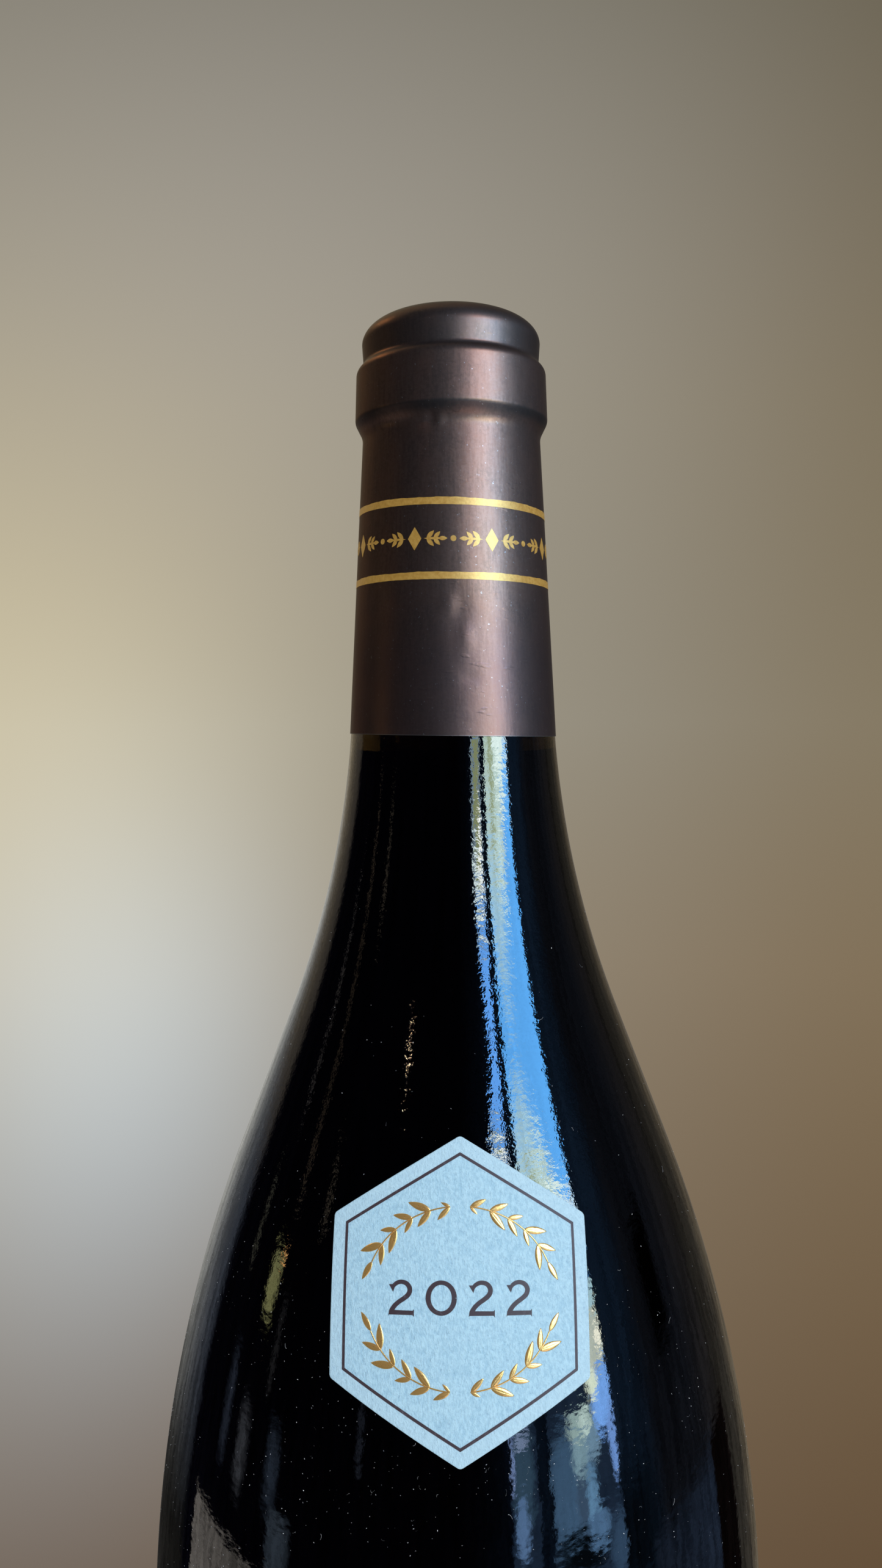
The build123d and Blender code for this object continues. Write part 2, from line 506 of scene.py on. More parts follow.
def lacquered_foil(place):
    """Brown lacquer over tin: mottled, drawn up and down, spun in bands, and bare at the cut;
    painted shade darkens the crease under the ring.
    """
    across, _, height = place.parts()
    cloud = place.noise(240, 4.0, 0.65)
    wrinkle = place.stretched(0.7, 0.7, 1).noise(700, 3.0, 0.6)
    drawn = place.stretched(1, 1, 0.1).noise(2400, 3.0, 0.65)
    speckle = place.noise(2400, 3.0, 0.7)
    spun = place.stretched(0.05, 0.05, 1).noise(2200, 3.0, 0.7)
    bands = place.stretched(0.1, 0.1, 1).noise(120).smooth(0.5, 0.75)
    scuff = place.stretched(0.3, 0.3, 1).noise(1100).smooth(0.64, 0.74)
    relief = drawn * 0.8 + speckle * 0.8 + cloud + wrinkle * 2.2 + spun * bands * 0.8 + scuff * 1.5
    above_edge = height + across * foil_edge_tilt - foil_edge_height * mm
    below_ring = crease_height - height / mm
    # painted shade: a dark band in the crease under the ring's foot
    crease_shade = below_ring.smooth(-0.35, 0.05) * below_ring.smooth(1.6, 0.5)
    lip = below_ring.smooth(-6.5, -9.0)
    foot = above_edge.smooth(24 * mm, 8 * mm)
    fleck = place.noise(2800, 1.0).smooth(0.72, 0.8)
    lacquer = cloud.smooth(0.38, 0.62).blend((0.118, 0.059, 0.039), (0.15, 0.069, 0.044))
    grain = (speckle * 0.55 + drawn * 0.45).smooth(0.38, 0.62)
    brown = grain.blend(lacquer, (0.172, 0.088, 0.06))
    for where, strength, colour in (
        # painted shade, dark in the crease under the ring
        (crease_shade, 0.65, (0.01, 0.008, 0.008)),
        (lip, 0.35, (0.047, 0.044, 0.041)),
        (foot, 0.5, (0.079, 0.034, 0.037)),
        (fleck, 0.45, (0.42, 0.4, 0.39)),
    ):
        brown = (where * strength).blend(brown, colour)
    return {
        "Base Color": above_edge.smooth(0.05 * mm, 0.12 * mm).blend((0.24, 0.21, 0.19), brown),
        "Roughness": 0.3 + cloud * 0.06 + speckle * 0.08,
        "Normal": relief.bump(0.000012),
    }


def foil_outline(grow):
    """Outline of one face of the foil, from the middle of its top down to its lower edge."""
    side = [p for p in lip_and_neck(grow)[:-1] + shoulder(grow) if p[1] > foil_edge_height + 0.05]
    foot = shoulder(grow)[0]
    edge = (foot[0] + (foot[1] - foil_edge_height) * tan(radians(neck_slope)), foil_edge_height)
    return [(0.0, side[0][1])] + side + [edge]


def tilt_edge(piece):
    """Lets the lower edge follow its slanting cut, fading out further up the neck."""
    fade_height = edge_fade_height * mm
    for vertex in piece.data.vertices:
        share = 1 - min(1.0, max(0.0, (vertex.co.z - foil_edge_height * mm) / fade_height))
        drop = vertex.co.x * foil_edge_tilt * share
        away = Vector((vertex.co.x, vertex.co.y)).normalized() * drop * tan(radians(neck_slope))
        vertex.co -= Vector((-away.x, -away.y, drop))


foil_relief = foil_relief_tree()
brown_foil = finish(
    "brown_foil", lacquered_foil, Metallic=0.94, Specular_Tint=(0.35, 0.33, 0.3),
    Coat_Weight=0.6, Coat_Roughness=0.6,
)
foil_face = spaced(foil_outline(foil_gap + foil_thickness), longest=0.34)
foil_back = spaced(foil_outline(foil_gap), longest=3.0)
foil_wall = foil_back + foil_face[::-1]
neck_foil = turned("neck_foil", foil_wall, brown_foil, longest=foil_length, around=240)
tilt_edge(neck_foil)
grown(neck_foil, foil_relief, Seed=relief_seed, Finish=brown_foil)
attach(neck_foil, "root")
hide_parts("foil_capsule")


# The foil is printed in gold: two plain lines round the neck, a little out of square, and
# between them a border of lozenges, twigs and dots. The print follows every dent.

line_width = 1.0
print_thickness = 0.03
gold_lines = [  # height at the front, and tilt to the +X side in degrees
    ("gold_line_upper", 265.6, 1.63),
    ("gold_line_lower", 255.4, 0.83),
]
border_height = 260.45
border_tilt = 0.0215  # slope down to the +X side
border_count = 8
border_twig = [  # lean in degrees, root, length and width of each leaf
    (0, 1.35, 3.1, 0.34), (0, 3.4, 1.25, 0.6), (46, 1.75, 1.5, 0.6), (-46, 1.75, 1.5, 0.6),
    (46, 2.75, 1.3, 0.55), (-46, 2.75, 1.3, 0.55),
]


class Meridian:
    """A stretch of outline that flat pieces are laid on, by the distance along it."""

    def __init__(self, points):
        self.points = np.array(points)
        steps = np.diff(self.points, axis=0)
        self.distances = np.concatenate([[0.0], np.cumsum(np.hypot(steps[:, 0], steps[:, 1]))])
        slopes = np.arctan2(steps[:, 0], -steps[:, 1])
        self.slopes = np.concatenate([slopes[:1], (slopes[1:] + slopes[:-1]) / 2, slopes[-1:]])

    def distance_at(self, height):
        return np.interp(-height, -self.points[:, 1], self.distances)

    def at(self, distance):
        """Radius, height and slope at a distance down."""
        rows = (self.points[:, 0], self.points[:, 1], self.slopes)
        return [np.interp(distance, self.distances, row) for row in rows]

    def place(self, turn, distance, lift):
        """The place, in metres, at a turn from the front, a distance down and a lift off."""
        radius, height, slope = self.at(distance)
        radius = radius + lift * cos(slope)
        height = height + lift * sin(slope)
        return Vector((radius * sin(turn), -radius * cos(turn), height)) * mm


def solid_from(name, mesh):
    """An object from a bmesh, with its faces outwards."""
    bmesh.ops.recalc_face_normals(mesh, faces=mesh.faces)
    data = bpy.data.meshes.new(name)
    mesh.to_mesh(data)
    mesh.free()
    return new_object(name, data)


def solid_from_rings(name, rings, looped=False):
    """A skin over closed rings, which lead back to the first or else end in points."""
    mesh = bmesh.new()
    rows = [[mesh.verts.new(place) for place in ring] for ring in rings]
    for row, after in zip(rows, rows[1:] + (rows[:1] if looped else [])):
        for corners in zip(row, row[1:] + row[:1], after[1:] + after[:1], after):
            mesh.faces.new(corners)
    if not looped:
        bmesh.ops.remove_doubles(mesh, verts=mesh.verts, dist=1e-5)
    return solid_from(name, mesh)


def gold_ink(place):
    """Gold ink: matt, a little grainy and uneven in depth."""
    grain = place.noise(2200, 3.0, 0.65).smooth(0.25, 0.75)
    deep = place.noise(300).blend((0.47, 0.25, 0.028), (0.54, 0.295, 0.04))
    return {
        "Base Color": grain.blend(deep, (0.63, 0.38, 0.075)),
        "Roughness": 0.38 + grain * 0.12,
        "Normal": grain.bump(0.000008),
    }


printed_gold = finish("printed_gold", gold_ink, Metallic=0.35, Specular_IOR_Level=1.0)
foil_side = Meridian(foil_face[1:])


def gold_line(name, middle, tilt):
    """A band of ink right round the neck, with edges that waver a little."""
    section = [(-1, -0.02), (-1, 1), (-0.6, 1), (-0.2, 1), (0.2, 1), (0.6, 1), (1, 1), (1, -0.02)]
    slant = tan(radians(tilt))
    columns = 288
    rings = []
    for column in range(columns):
        turn = 2 * pi * column / columns
        waver = 0.022 * sin(9 * turn + middle) + 0.014 * sin(31 * turn) + 0.01 * sin(67 * turn)
        half = line_width / 2 + waver
        ring = []
        for across, lift in section:
            level = middle + across * half + 0.5 * waver - lip_radius * sin(turn) * slant
            distance = foil_side.distance_at(level)
            ring.append(foil_side.place(turn, distance, lift * print_thickness))
        rings.append(ring)
    return solid_from_rings(name, rings, looped=True)


for name, middle, tilt in gold_lines:
    line = gold_line(name, middle, tilt)
    grown(line, foil_relief, Seed=relief_seed, Finish=printed_gold)
    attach(line, "root")


def cut_flat(name, outlines, thickness, grain, holes=0):
    """A thin flat solid over all that the outlines cover; the last ones may be holes."""
    filled = len(outlines) - holes
    points, faces = [], []
    for outline in outlines:
        edge = spaced([*outline, outline[0]], grain)[:-1]
        area = sum(a[0] * b[1] - a[1] * b[0] for a, b in zip(edge, edge[1:] + edge[:1]))
        edge = edge if area > 0 else edge[::-1]
        faces.append(list(range(len(points), len(points) + len(edge))))
        points += edge
    low, high = np.min(points, axis=0), np.max(points, axis=0)
    inner = [
        (x + (row % 2) * grain / 2, y)
        for row, y in enumerate(np.arange(low[1], high[1], grain * 0.87))
        for x in np.arange(low[0], high[0], grain)
    ]
    flat = [Vector(point) for point in points + inner]
    places, _, triangles, _, _, outlines_of = delaunay_2d_cdt(flat, [], faces, 0, 1e-5)
    mesh = bmesh.new()
    verts = [mesh.verts.new((x, y, 0.0)) for x, y in places]
    for triangle, covering in zip(triangles, outlines_of):
        if covering and max(covering) < filled:
            mesh.faces.new([verts[index] for index in triangle])
    for item in bmesh.ops.extrude_face_region(mesh, geom=mesh.faces[:])["geom"]:
        if isinstance(item, bmesh.types.BMVert):
            item.co.z = thickness
    loose = [vert for vert in mesh.verts if not vert.link_faces]
    bmesh.ops.delete(mesh, geom=loose, context="VERTS")
    return solid_from(name, mesh)


def leaf_outline(root, length, width, lean):
    """A pointed leaf from its root, at a lean from +X in degrees."""
    shares = [step / 14 for step in range(15)]
    edge = [(length * share, width / 2 * sin(pi * share ** 0.9)) for share in shares]
    edge += [(x, -y) for x, y in edge[-2:0:-1]]
    c, s = cos(radians(lean)), sin(radians(lean))
    return [(root + x * c - y * s, x * s + y * c) for x, y in edge]


def repeating_tree():
    """Repeats a motif along a row, at an even pitch."""
    given, count, pitch = new_tree("repeated_in_a_row", "Count", "Pitch")
    spacing = {"Count": count, "Offset": given.vector(pitch)}
    row = given.node("GeometryNodeMeshLine", spacing, "Mesh")
    copies = given.node("GeometryNodeInstanceOnPoints", {"Points": row, "Instance": given})
    return end_tree(given, copies)


border_radius = float(foil_side.at(foil_side.distance_at(border_height))[0])
border_pitch = 2 * pi * border_radius / border_count
lozenge = [(0.0, 1.6), (1.0, 0.0), (0.0, -1.6), (-1.0, 0.0)]
dot_turns = [2 * pi * step / 20 for step in range(20)]
motif = [lozenge, [(border_pitch / 2 + 0.4 * cos(turn), 0.4 * sin(turn)) for turn in dot_turns]]
for side in (-1, 1):
    for lean, root, length, width in border_twig:
        motif.append(leaf_outline(side * root, length, width, lean if side == 1 else 180 - lean))
gold_border = cut_flat("gold_border", motif, print_thickness, grain=0.45)
grown(
    gold_border, repeating_tree(), Count=border_count, Pitch=border_pitch, Finish=printed_gold
)
for vertex in gold_border.data.vertices:
    turn = vertex.co.x / border_radius + pi / border_count
    level = border_height + vertex.co.y - lip_radius * sin(turn) * border_tilt
    vertex.co = foil_side.place(turn, foil_side.distance_at(level), vertex.co.z)
grown(gold_border, foil_relief, Seed=relief_seed, Finish=printed_gold)
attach(gold_border, "root")


# The label is one six-sided piece of thick uncoated paper, pale blue, cut with rounded corners
# and glued round the shoulder. Its face is felt-marked, and its cut edge a little crushed.

label_side = 19.1
label_drop = 72.0  # of its middle, down the glass from the foot of the neck
label_thickness = 0.4
label_gap = 0.02
label_tilt = radians(-0.6)
label_corner_round = 0.7
label_sunk = 0.06  # into the glue, so that no gap shows
frame_inset = 1.75  # of the printed line, from the edge
frame_width = 0.36
side_to_middle = cos(radians(30))  # of a hexagon whose sides are 1
shoulder_line = Meridian(spaced(shoulder(), longest=0.5))
middle_radius, _, middle_slope = shoulder_line.at(label_drop)
label_reach = middle_radius / sin(middle_slope)


def on_shoulder(piece, lift):
    """Bends a flat piece round the shoulder, as round the cone that fits the label's middle."""
    for vertex in piece.data.vertices:
        across = vertex.co.x * cos(label_tilt) - vertex.co.y * sin(label_tilt)
        up = vertex.co.x * sin(label_tilt) + vertex.co.y * cos(label_tilt)
        turn = atan2(across, label_reach - up) / sin(middle_slope)
        distance = label_drop + hypot(across, label_reach - up) - label_reach
        vertex.co = shoulder_line.place(turn, distance, vertex.co.z + lift)
    piece.data.update()
    return piece


def hexagon(side, corner_round=0.0):
    """Corners of an upright six-sided outline, rounded if asked."""
    turns = [radians(90 + 60 * k) for k in range(8)]
    corners = [(side * cos(turn), side * sin(turn)) for turn in turns]
    return rounded(corners, [corner_round] * 6)[1:-1] if corner_round else corners[:6]


def paper_face(place):
    """Felt-marked blue paper: soft mottling and short fibres, paler outside the frame line."""
    felt = place.stretched(1, 1, 0.5).noise(2600, 4.0, 0.7)
    broad = place.noise(600, 3.0, 0.6)
    fibre = place.stretched(1, 1, 0.35).noise(5200, 2.0, 0.7)
    fleck = place.noise(2600, 1.0).smooth(0.66, 0.74)
    blue = felt.smooth(0.36, 0.64).blend((0.36, 0.61, 0.81), (0.485, 0.765, 0.96))
    blue = (broad.smooth(0.35, 0.65) * 0.2).blend(blue, (0.5, 0.75, 0.93))
    inset = place.node("ShaderNodeAttribute", output="Fac", attribute_name="inset")
    margin = inset.smooth(frame_inset + frame_width, frame_inset)
    blue = (margin * 0.4).blend(blue, (0.55, 0.77, 0.93))
    return {
        "Base Color": (fleck * 0.35).blend(blue, (0.22, 0.4, 0.6)),
        "Roughness": 0.82 + felt * 0.12,
        "Normal": (felt * 1.5 + fibre * 1.1 + broad * 0.5).bump(0.00012),
    }


def paper_solid(name):
    """The sheet, still flat: rings of the outline from the back's middle round to the face's."""
    outline = hexagon(label_side, label_corner_round)
    outline = spaced([*outline, outline[0]], longest=0.42)[:-1]
    half_width = label_side * side_to_middle
    top = label_thickness
    rings = [(0.0, -label_sunk), (0.5, -label_sunk), (1.0, -label_sunk), (1.0, top * 0.72)]
    face = [(0.02, 0.06), (0.06, 0.025), (0.13, 0.006), (0.25, 0.0)]  # inset, and drop
    face += [(inset, 0.0) for inset in np.arange(0.7, half_width, 0.55)]
    rings += [(1 - inset / half_width, top - drop) for inset, drop in face] + [(0.0, top)]
    rings = [[(x * share, y * share, lift) for x, y in outline] for share, lift in rings]
    sheet = solid_from_rings(name, rings)
    inset = sheet.data.attributes.new("inset", "FLOAT", "POINT")
    for vertex, value in zip(sheet.data.vertices, inset.data):
        bearing = (degrees(atan2(vertex.co.y, vertex.co.x)) + 30) % 60 - 30
        value.value = half_width - hypot(vertex.co.x, vertex.co.y) * cos(radians(bearing))
    return sheet


blue_paper = finish("blue_paper", paper_face, Specular_IOR_Level=0.3)
paper_label = on_shoulder(paper_solid("paper_label_sheet"), label_gap)
paper_label.data.shade_smooth()
paper_label.data.materials.append(blue_paper)
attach(paper_label, "root")
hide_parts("paper_label")


# The label is printed in dark brown: a fine line that follows its outline, and the year of the
# wine in wide figures with short flared ends.

ink_thickness = 0.02
figure_height = 4.0
figure_gap = 1.42
label_top = label_gap + label_thickness


def brown_ink(place):
    """Brown ink soaked into the paper, thin in spots."""
    thin = place.noise(1800, 3.0, 0.65).smooth(0.55, 0.75)
    return {
        "Base Color": (thin * 0.45).blend((0.055, 0.036, 0.048), (0.15, 0.145, 0.19)),
        "Roughness": 0.55 + thin * 0.25,
        "Normal": place.noise(3000).bump(0.000012),
    }


def pen_stroke(points):
    """Outlines of a stroke through the points, each given with the stroke's width there."""
    padded = np.array([points[0], *points, points[-1]])
    last = len(points) - 1
    smooth = []
    for at in np.linspace(0, last, 8 * last + 1):
        k = min(int(at), last - 1)
        t = at - k
        before, start, end, after = padded[k:k + 4]
        smooth.append(0.5 * (
            2 * start + (end - before) * t + (2 * before - 5 * start + 4 * end - after) * t ** 2
            + (3 * start - before - 3 * end + after) * t ** 3
        ))
    smooth = np.array(smooth)
    along = np.gradient(smooth[:, :2], axis=0)
    square = np.stack([-along[:, 1], along[:, 0]], 1) / np.hypot(*along.T)[:, None]
    half = square * smooth[:, 2:] / 2
    left = list(map(tuple, smooth[:, :2] + half))
    right = list(map(tuple, smooth[:, :2] - half))
    return list(zip(left, left[1:], right[1:], right))


def figure_two():
    """Bowl and neck in one stroke, a wedge where it starts, and a foot with flared ends."""
    bowl = [
        (0.50, 3.05, 0.40), (0.78, 3.43, 0.46), (1.22, 3.69, 0.49), (1.72, 3.75, 0.50),
        (2.25, 3.58, 0.54), (2.60, 3.18, 0.58), (2.66, 2.72, 0.59), (2.42, 2.26, 0.57),
        (1.92, 1.86, 0.54), (1.32, 1.47, 0.53), (0.80, 1.02, 0.54), (0.46, 0.55, 0.56),
        (0.34, 0.25, 0.56),
    ]
    wedge = [(0.04, 3.44), (0.30, 3.04), (0.58, 2.58), (0.74, 3.02), (0.86, 3.34), (0.60, 3.46)]
    foot = [
        (0.0, -0.16), (0.13, 0.0), (3.02, 0.0), (3.19, -0.2), (3.2, 0.68), (3.04, 0.5),
        (0.62, 0.53), (0.1, 0.4),
    ]
    return pen_stroke(bowl) + [wedge, foot], 3.2


def figure_nought():
    """A wide ring, stouter at its sides than at top and foot."""
    ring = []
    for step in range(25):
        turn = 2 * pi * step / 24
        width = 0.5 + 0.12 * cos(turn) ** 2
        reach = (1.9 - width / 2, 2.0 - width / 2)
        ring.append((1.9 + reach[0] * cos(turn), 2.0 + reach[1] * sin(turn), width))
    return pen_stroke(ring), 3.8


def year_outlines(figures):
    """The figures side by side, with their middle at the origin."""
    outlines, across = [], 0.0
    for strokes, width in figures:
        outlines += [[(x + across, y) for x, y in stroke] for stroke in strokes]
        across += width + figure_gap
    middle = (across - figure_gap) / 2
    return [[(x - middle, y - figure_height / 2) for x, y in outline] for outline in outlines]


dark_ink = finish("brown_ink", brown_ink, Specular_IOR_Level=0.3)
figures = year_outlines([figure_two(), figure_nought(), figure_two(), figure_two()])
label_year = cut_flat("label_year", figures, ink_thickness, grain=0.3)
frame_insets = (frame_inset, frame_inset + frame_width)
frame_edges = [hexagon(label_side - inset / side_to_middle) for inset in frame_insets]
label_frame = cut_flat("label_frame_line", frame_edges, ink_thickness, grain=0.5, holes=1)
for piece in (label_year, label_frame):
    on_shoulder(piece, label_top)
    piece.data.materials.append(dark_ink)
    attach(piece, "root")


# Round the year lies a wreath of gold foil, blocked into the paper: four sprigs, each a thin
# stem with pairs of small domed leaves and a leaf at its tip.

wreath_half_width = 11.9
wreath_half_height = 10.6
leaf_length = 3.1
leaf_width = 0.95
leaf_rise = 0.13
leaf_sunk = 0.03  # into the paper, so that no gap shows
stem_radius = 0.09
sprig_pairs = 5
sprig_sweep = 62.0  # degrees of the oval that a sprig takes
leaf_lean = 34.0  # degrees between leaf and stem


def leaf_solid(name):
    """One domed leaf along +X with a fine crease for its rib."""
    steps = 12
    rings = []
    for step in range(steps + 1):
        share = step / steps
        inner = 0 < step < steps
        along = leaf_length * share
        half = leaf_width / 2 * sin(pi * share ** 0.85) ** 0.8 if inner else 0.0
        swell = sin(pi * share) ** 0.6 if inner else 0.0
        ring = []
        for side in (-1.0, -0.75, -0.4, -0.1, 0.0, 0.1, 0.4, 0.75, 1.0):
            crease_shade = 0.3 * exp(-((side / 0.12) ** 2))
            ring.append((along, side * half, leaf_rise * swell * (1 - side ** 2 - crease_shade)))
        rings.append(ring + [(along, side * half, -leaf_sunk) for side in (1.0, 0.0, -1.0)])
    return solid_from_rings(name, rings)


def tube(line, sides, radius):
    """A tube along a curve, closed at its ends."""
    circle = {"Resolution": sides, "Radius": radius}
    edge = line.node("GeometryNodeCurvePrimitiveCircle", circle, "Curve")
    sockets = {"Curve": line, "Profile Curve": edge, "Fill Caps": True}
    return line.node("GeometryNodeCurveToMesh", sockets)


def bow(given, points, radius, start, sweep):
    """A stretch of a circle about the origin, from a start through a sweep."""
    sockets = {"Resolution": points, "Radius": radius, "Start Angle": start, "Sweep Angle": sweep}
    return given.node("GeometryNodeCurveArc", sockets, "Curve")


def sprig_tree():
    """Sets leaves in pairs along an oval stem, with one at the tip, all on the stem's slope."""
    inputs = ("Count", "Half width", "Half height", "Start", "Sweep", "Lean", "Stem")
    given, count, width, height, start, sweep, lean, stem = new_tree("leafy_sprig", *inputs)
    oval = given.vector(width, height, 1.0)
    circle = bow(given, points=48, radius=1.0, start=start, sweep=sweep)
    stem_line = given.node("GeometryNodeTransform", {"Geometry": circle, "Scale": oval})
    row = given.node("GeometryNodeResampleCurve", {"Curve": stem_line, "Count": count + 1})
    across, up, _ = given.node("GeometryNodeInputTangent").parts()
    heading = up.math("ARCTAN2", across)
    index = given.node("GeometryNodeInputIndex")
    tip = index.math("COMPARE", count, 0.1)
    first = index.math("COMPARE", 0.0, 0.1)
    pieces = [tube(stem_line, sides=8, radius=stem)]
    for side in (-1, 1):
        turn = given.vector(0.0, 0.0, heading + lean * side * (1 - tip))
        size = 0.82 + 0.18 * (index * 2.1 + side).math("SINE") - first * 0.25
        sockets = {"Points": row, "Instance": given, "Rotation": turn, "Scale": size}
        sockets["Selection"] = 1 - tip * (0.5 + 0.5 * side)
        pieces.append(given.node("GeometryNodeInstanceOnPoints", sockets))
    joined = given.node("GeometryNodeJoinGeometry")
    for piece in pieces:
        joined.feed(joined.socket.node.inputs["Geometry"], piece)
    return end_tree(given, joined)


def blocked_gold(place):
    """Bright gold foil that still shows the paper's felt through it."""
    felt = place.noise(1500, 3.0, 0.6)
    worn = place.noise(700, 3.0, 0.7).smooth(0.62, 0.75)
    return {
        "Base Color": (worn * 0.4).blend((0.85, 0.5, 0.16), (0.6, 0.35, 0.1)),
        "Roughness": 0.2 + felt * 0.18,
        "Normal": (felt + place.noise(3500) * 0.4).bump(0.00003),
    }


bright_gold = finish("bright_gold", blocked_gold, Metallic=0.68, Specular_IOR_Level=1.0)
sprigs = sprig_tree()
wreath_parts = [
    grown(
        leaf_solid("wreath_part"), sprigs, Count=sprig_pairs, Half_width=wreath_half_width,
        Half_height=wreath_half_height, Start=radians(start), Sweep=radians(sprig_sweep * way),
        Lean=radians(leaf_lean), Stem=stem_radius, Finish=bright_gold,
    )
    for start, way in ((84, -1), (96, 1), (264, -1), (276, 1))
]
gold_wreath = wreath_parts[0]
with bpy.context.temp_override(active_object=gold_wreath, selected_editable_objects=wreath_parts):
    bpy.ops.object.join()
gold_wreath.name = "gold_wreath"
on_shoulder(gold_wreath, label_top)
gold_wreath.data.shade_smooth()
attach(gold_wreath, "root")


# A bottle that has stood in a room carries a little dust: pale specks, and curved lint fibres
# from paper and cloth. They cling to the glass, mostly where the shoulder swells into the body.

dust_low, dust_middle, dust_high = 135.0, 178.0, 226.0  # thick, thin, and none above
strewn_things = [  # number on a square metre, size in millimetres, and seed
    ("dust_specks", 620000.0, 0.061, 11),
    ("lint_fibres", 80000.0, 0.3, 23),
]


def strewing_tree(name, small_thing):
    """Strews one small thing over a skin, turned any way, with the most of them low down."""
    inputs = ("Per square metre", "Low", "Middle", "High", "Size", "Seed")
    given, per_area, low, middle, high, size, seed = new_tree(name, *inputs)
    skin = given.node("GeometryNodeInputPosition")
    across, _, height = skin.parts()
    settled = height.smooth(middle, low) * 0.85 + height.smooth(high, middle) * 0.15
    settled = settled * (1 - across.smooth(10 * mm, 26 * mm) * 0.65)
    density = settled * skin.noise(80).smooth(0.35, 0.65) * per_area
    strewn = {"Mesh": given, "Density": density, "Seed": seed}
    points = given.node("GeometryNodeDistributePointsOnFaces", strewn, "Points")
    any_turn = {"Min_001": 0.0, "Max_001": 2 * pi, "Seed": seed + 1}
    spin = given.node("FunctionNodeRandomValue", any_turn, "Value_001", data_type="FLOAT")
    lying = {"Rotation": points.other("Rotation"), "Rotate By": given.vector(0.0, 0.0, spin)}
    heading = given.node("FunctionNodeRotateRotation", lying, rotation_space="LOCAL")
    any_size = {"Min": (0.3, 0.2, 0.5), "Max": (1.9, 1.2, 1.2), "Seed": seed + 2}
    sizes = given.node("FunctionNodeRandomValue", any_size, data_type="FLOAT_VECTOR")
    thing = small_thing(given, size)
    copies = {"Points": points, "Instance": thing, "Rotation": heading, "Scale": sizes}
    return end_tree(given, given.node("GeometryNodeInstanceOnPoints", copies))


def speck(given, size):
    """A flat crumb."""
    ball = given.node("GeometryNodeMeshIcoSphere", {"Radius": size, "Subdivisions": 1}, "Mesh")
    return given.node("GeometryNodeTransform", {"Geometry": ball, "Scale": (1.0, 0.8, 0.5)})


def fibre(given, size):
    """A bent hair that lies flat."""
    bent = bow(given, points=9, radius=size, start=0.0, sweep=2.1)
    hair = tube(bent, sides=4, radius=size * 0.045)
    back = given.vector(size * -0.5, size * -0.7)
    return given.node("GeometryNodeTransform", {"Geometry": hair, "Translation": back})


def dust_grey(place):
    """Pale grey, a little bluish, darker in some specks than in others."""
    shade = place.noise(700, 1.0).smooth(0.32, 0.66)
    return {
        "Base Color": shade.blend((0.16, 0.18, 0.22), (0.82, 0.86, 0.92)),
        "Roughness": 0.75 + shade * 0.2,
    }


room_dust = finish("room_dust", dust_grey, Specular_IOR_Level=0.3)
for (name, per_area, size, seed), small_thing in zip(strewn_things, (speck, fibre)):
    dust = turned(name, shoulder(), room_dust, longest=3.0, around=90)
    grown(
        dust, strewing_tree(name, small_thing), Per_square_metre=per_area, Low=dust_low * mm,
        Middle=dust_middle * mm, High=dust_high * mm, Size=size * mm, Seed=seed, Finish=room_dust,
    )
    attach(dust, "root")


# The bottle stands on a floor of plain pale paint, flat and matt. The camera sees it fade into
# the backdrop a little way out, and gloss doesn't show it.

floor_radius = 2.5
floor_fade = (0.085, 0.16)
floor_colour = (0.62, 0.6, 0.57)
floor_seen = (0.3, 0.28, 0.25)


def emptied(owner):
    """The node tree of a new material or world, with nothing in it yet."""
    owner.use_nodes = True
    owner.node_tree.nodes.clear()
    return Wire(owner.node_tree)


def floor_material():
    """Plain paint, which the camera sees through further out."""
    made = bpy.data.materials.new("pale_floor")
    seen = emptied(made).node("ShaderNodeLightPath", output="Is Camera Ray")
    place = seen.node("ShaderNodeTexCoord", output="Object")
    away = seen.node("ShaderNodeVectorMath", {0: place}, "Value", operation="LENGTH")
    paint = seen.node("ShaderNodeBsdfDiffuse", {"Color": seen.blend(floor_colour, floor_seen)})
    clear = seen.node("ShaderNodeBsdfTransparent")
    faded = {0: seen * away.smooth(*floor_fade), 1: paint, 2: clear}
    seen.node("ShaderNodeMixShader", faded).ends("ShaderNodeOutputMaterial")
    return made


bpy.ops.mesh.primitive_circle_add(vertices=96, radius=floor_radius, fill_type="NGON")
floor = bpy.context.object
floor.name = "floor"
floor.data.materials.append(floor_material())
floor.visible_glossy = False


# The light is a plain soft studio light: a large lamp to the right of the camera and an even
# surround. Gloss shows a tall window of two panes in the lamp's place, and a dim room.

